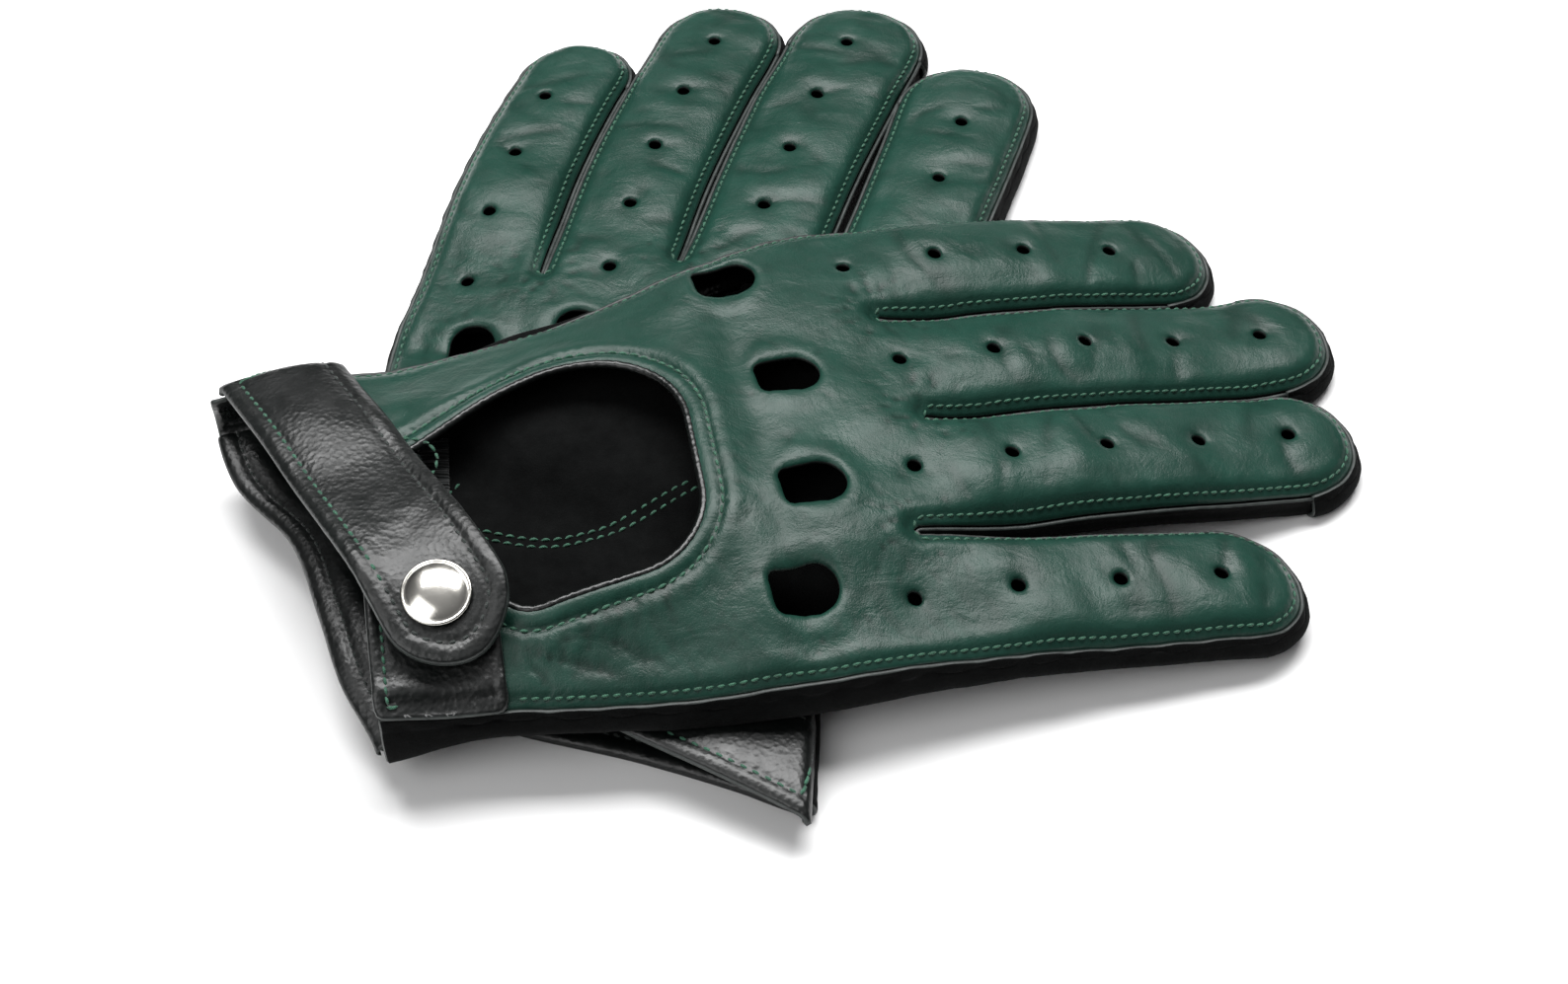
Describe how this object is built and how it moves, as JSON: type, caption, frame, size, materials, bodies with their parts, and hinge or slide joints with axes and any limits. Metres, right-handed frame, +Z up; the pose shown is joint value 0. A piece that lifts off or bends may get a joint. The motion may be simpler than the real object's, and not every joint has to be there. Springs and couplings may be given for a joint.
{
  "type": "leather driving gloves",
  "caption": "Pair of unlined leather driving gloves, green backs with knuckle holes and a keyhole cut-out, black palms, snap wrist straps; right glove laid across the left",
  "frame": {"origin": "Centre of the pair's footprint, on the table under the left glove", "axes": "+Z up off the table, +X towards the right glove's fingertips, +Y towards the left glove's fingertips"},
  "size_m": [0.2224, 0.2214, 0.0343],
  "materials": {
    "green_leather": "soft dark green nappa with a low gloss",
    "black_leather": "black nappa with a fine pebble grain",
    "thread": "twisted green sewing thread",
    "elastic": "woven black elastic",
    "nickel": "polished nickel plate"
  },
  "bodies": {
    "left_glove": {"left_back_panel": "green_leather", "left_palm_panel": "black_leather", "left_thumb": "black_leather", "left_fourchette_index_middle": "black_leather", "left_fourchette_middle_ring": "black_leather", "left_fourchette_ring_pinky": "black_leather", "left_strap": "black_leather", "left_strap_base": "black_leather", "left_stud_tab": "black_leather", "left_keyhole_binding": "black_leather", "left_wrist_hem": "black_leather", "left_wrist_elastic": "elastic", "left_snap_cap": "nickel", "left_snap_socket": "nickel", "left_snap_stud": "nickel", "left_snap_post": "nickel", "left_keyhole_stitching": "thread", "left_strap_stitching": "thread"},
    "right_glove": {"right_back_panel": "green_leather", "right_palm_panel": "black_leather", "right_thumb": "black_leather", "right_fourchette_index_middle": "black_leather", "right_fourchette_middle_ring": "black_leather", "right_fourchette_ring_pinky": "black_leather", "right_strap_base": "black_leather", "right_stud_tab": "black_leather", "right_keyhole_binding": "black_leather", "right_wrist_hem": "black_leather", "right_wrist_elastic": "elastic", "right_snap_stud": "nickel", "right_snap_post": "nickel", "right_keyhole_stitching": "thread"},
    "right_strap_flap": {"right_strap": "black_leather", "right_snap_cap": "nickel", "right_snap_socket": "nickel", "right_strap_stitching": "thread"}
  },
  "joints": [
    {"name": "right_glove_lift", "type": "slide", "parent": "left_glove", "child": "right_glove", "axis": [0, 0, 1], "range_m": [0, 0.12]},
    {"name": "right_strap_hinge", "type": "hinge", "parent": "right_glove", "child": "right_strap_flap", "pos_m": [-0.08381, -0.04893, 0.0301], "axis": [-0.8435, -0.5322, 0.0727], "range_deg": [0, 150]}
  ]
}
